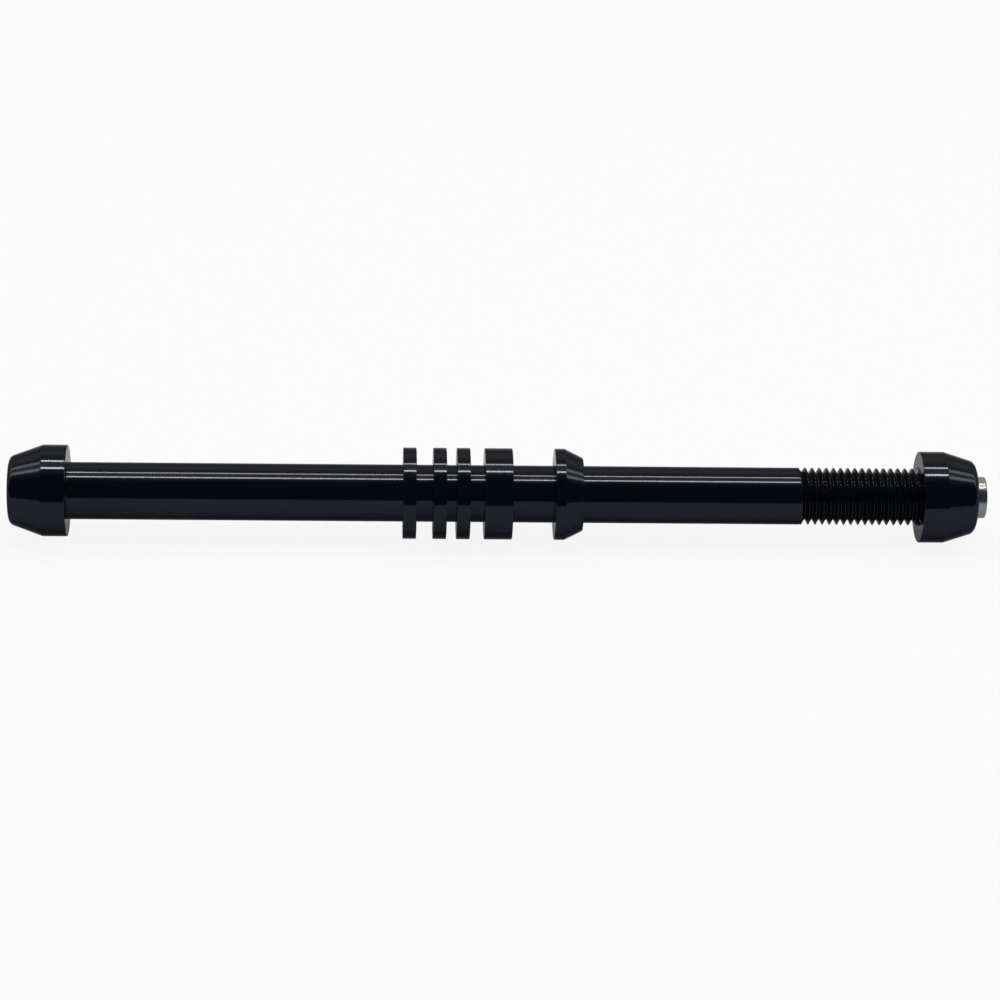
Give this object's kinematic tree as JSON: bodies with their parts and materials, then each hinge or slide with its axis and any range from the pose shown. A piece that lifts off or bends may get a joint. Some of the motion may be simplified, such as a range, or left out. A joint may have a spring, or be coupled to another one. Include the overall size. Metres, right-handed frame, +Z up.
{
  "type": "bicycle thru axle",
  "caption": "Black turned thru axle with a conical head, a threaded end, loose spacer rings, a cone ring and a conical nut locked by a bright cap screw.",
  "frame": {"origin": "on the axis of the axle, in the plane of the flat seat under its head", "axes": "+X along the axle from the head towards the thread and the nut, +Z up as it lies"},
  "size_m": [0.2034, 0.019, 0.019],
  "materials": {
    "black_anodised": "smooth black anodised, turned",
    "bright_steel": "polished"
  },
  "bodies": {
    "axle": {"axle": "black_anodised"},
    "spacer_1": {"spacer_1": "black_anodised"},
    "spacer_2": {"spacer_2": "black_anodised"},
    "spacer_3": {"spacer_3": "black_anodised"},
    "thick_spacer": {"thick_spacer": "black_anodised"},
    "cone_ring": {"cone_ring": "black_anodised"},
    "end_nut": {"end_nut": "black_anodised"},
    "lock_screw": {"lock_screw": "bright_steel"}
  },
  "joints": [
    {"name": "spacer_1_slide", "type": "slide", "parent": "axle", "child": "spacer_1", "axis": [1, 0, 0], "range_m": [-0.0694, 0.00165]},
    {"name": "spacer_2_slide", "type": "slide", "parent": "axle", "child": "spacer_2", "axis": [1, 0, 0], "range_m": [-0.00165, 0.001]},
    {"name": "spacer_3_slide", "type": "slide", "parent": "axle", "child": "spacer_3", "axis": [1, 0, 0], "range_m": [-0.001, 0.00145]},
    {"name": "thick_spacer_slide", "type": "slide", "parent": "axle", "child": "thick_spacer", "axis": [1, 0, 0], "range_m": [-0.00145, 0.00435]},
    {"name": "cone_ring_slide", "type": "slide", "parent": "axle", "child": "cone_ring", "axis": [1, 0, 0], "range_m": [-0.00435, 0.07035]},
    {"name": "end_nut_off", "type": "slide", "parent": "axle", "child": "end_nut", "axis": [1, 0, 0], "range_m": [0, 0.016]},
    {"name": "lock_screw_out", "type": "slide", "parent": "end_nut", "child": "lock_screw", "axis": [1, 0, 0], "range_m": [0, 0.016]}
  ]
}
